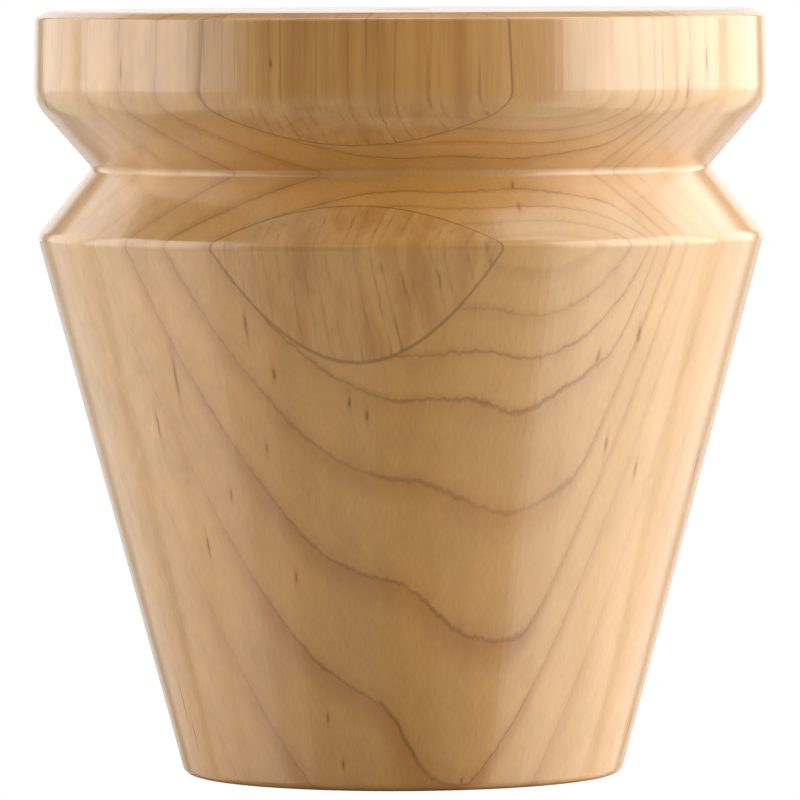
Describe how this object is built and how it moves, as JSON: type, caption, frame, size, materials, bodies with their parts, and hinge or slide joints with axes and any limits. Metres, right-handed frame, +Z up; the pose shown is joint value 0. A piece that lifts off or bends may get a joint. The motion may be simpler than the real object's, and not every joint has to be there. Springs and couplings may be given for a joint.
{
  "type": "tapered round furniture foot (bun foot)",
  "caption": "Turned maple furniture foot: straight band and bead round a V groove, straight taper to a flat sole, clear satin finish, blind pilot hole in the top.",
  "frame": {"origin": "centre of the sole, on the floor", "axes": "+Z up the turning axis to the top face; -Y faces the side with the glue line"},
  "size_m": [0.1095, 0.1094, 0.1143],
  "materials": {
    "maple": "clear satin lacquer"
  },
  "bodies": {
    "root": {"turned_foot": "maple"}
  },
  "joints": []
}
